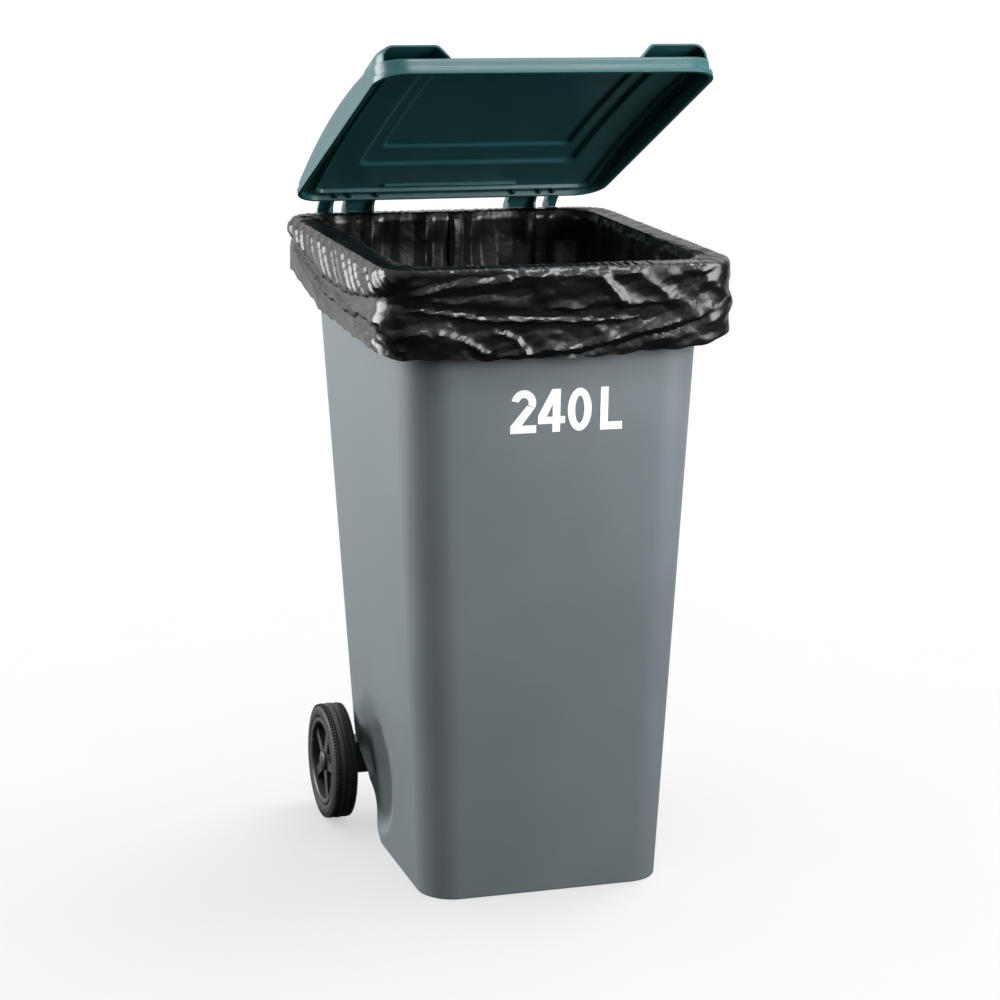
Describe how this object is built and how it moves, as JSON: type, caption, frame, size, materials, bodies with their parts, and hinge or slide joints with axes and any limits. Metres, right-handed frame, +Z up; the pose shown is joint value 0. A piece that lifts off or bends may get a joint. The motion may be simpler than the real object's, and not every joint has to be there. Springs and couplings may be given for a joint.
{
  "type": "wheelie bin",
  "caption": "Tall tapered two-wheeled waste bin with a hinged tray-shaped lid standing open and a black bag folded over its rim.",
  "frame": {"origin": "on the ground under the body, on its left-right mid-plane, 230 mm behind the front foot of the wall", "axes": "+Z up, the front of the bin faces -Y, the handle and wheels are towards +Y, +X is to the right seen from the front"},
  "size_m": [0.577, 0.6942, 1.3667],
  "materials": {
    "body_plastic": "satin moulded polyethylene, slate grey",
    "lid_plastic": "satin moulded polyethylene, dark teal",
    "liner_film": "glossy wrinkled polythene film, black",
    "tyre_rubber": "matt rubber",
    "wheel_plastic": "satin moulded polypropylene, black",
    "zinc_steel": "zinc plated",
    "nylon": "plain moulded nylon"
  },
  "bodies": {
    "body": {"tub": "body_plastic", "liner": "liner_film", "axle": "zinc_steel", "hinge_pin_left": "wheel_plastic", "hinge_pin_right": "wheel_plastic", "axle_block_left": "wheel_plastic", "axle_block_right": "wheel_plastic", "axle_spacer_left": "wheel_plastic", "axle_spacer_right": "wheel_plastic", "wheel_clip_left": "zinc_steel", "wheel_clip_right": "zinc_steel"},
    "lid": {"lid": "lid_plastic"},
    "wheel_left": {"hub_left": "wheel_plastic", "hub_bush_left": "nylon", "tyre_left": "tyre_rubber", "hub_cap_left": "wheel_plastic"},
    "wheel_right": {"hub_right": "wheel_plastic", "hub_bush_right": "nylon", "tyre_right": "tyre_rubber", "hub_cap_right": "wheel_plastic"}
  },
  "joints": [
    {"name": "lid_hinge", "type": "hinge", "parent": "body", "child": "lid", "pos_m": [0, 0.43, 1], "axis": [-1, 0, 0], "range_deg": [-26, 205]},
    {"name": "wheel_left_spin", "type": "hinge", "parent": "body", "child": "wheel_left", "pos_m": [0, 0.206, 0.1], "axis": [1, 0, 0], "continuous": true},
    {"name": "wheel_right_spin", "type": "hinge", "parent": "body", "child": "wheel_right", "pos_m": [0, 0.206, 0.1], "axis": [1, 0, 0], "continuous": true}
  ]
}
